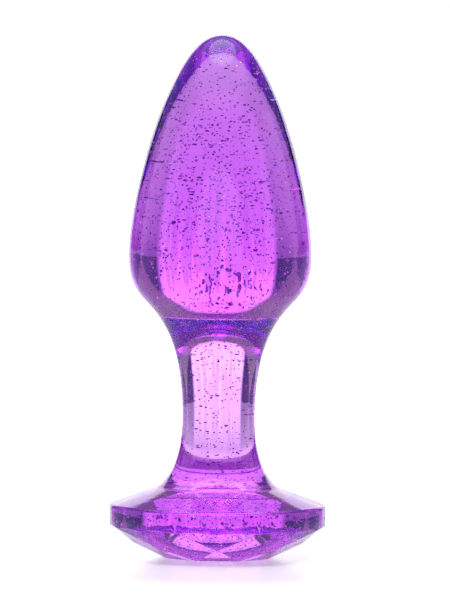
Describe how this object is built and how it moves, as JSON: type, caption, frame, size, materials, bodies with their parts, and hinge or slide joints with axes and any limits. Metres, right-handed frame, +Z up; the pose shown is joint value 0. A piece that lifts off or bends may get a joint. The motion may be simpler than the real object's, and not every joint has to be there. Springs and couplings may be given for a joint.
{
  "type": "flared-base plug, adult product",
  "caption": "Adult product: one-piece translucent purple glitter casting, a tapered bulb on a narrow neck and a wide flared base cut like a gem, standing on its flat facet.",
  "frame": {"origin": "middle of the flat table facet that the casting stands on", "axes": "+Z up the casting's axis from the gem base to the tip; +X square to one edge of the eight-sided table facet, and -Y towards the front"},
  "size_m": [0.0374, 0.0374, 0.09],
  "materials": {
    "tinted_plastic": "polished, clear right through, tinted purple",
    "violet_foil": "mirror-bright metallised film",
    "pink_foil": "mirror-bright metallised film",
    "silver_foil": "mirror-bright metallised film"
  },
  "bodies": {
    "root": {"cast_body": "tinted_plastic", "glitter_violet": "violet_foil", "glitter_pink": "pink_foil", "glitter_silver": "silver_foil"}
  },
  "joints": []
}
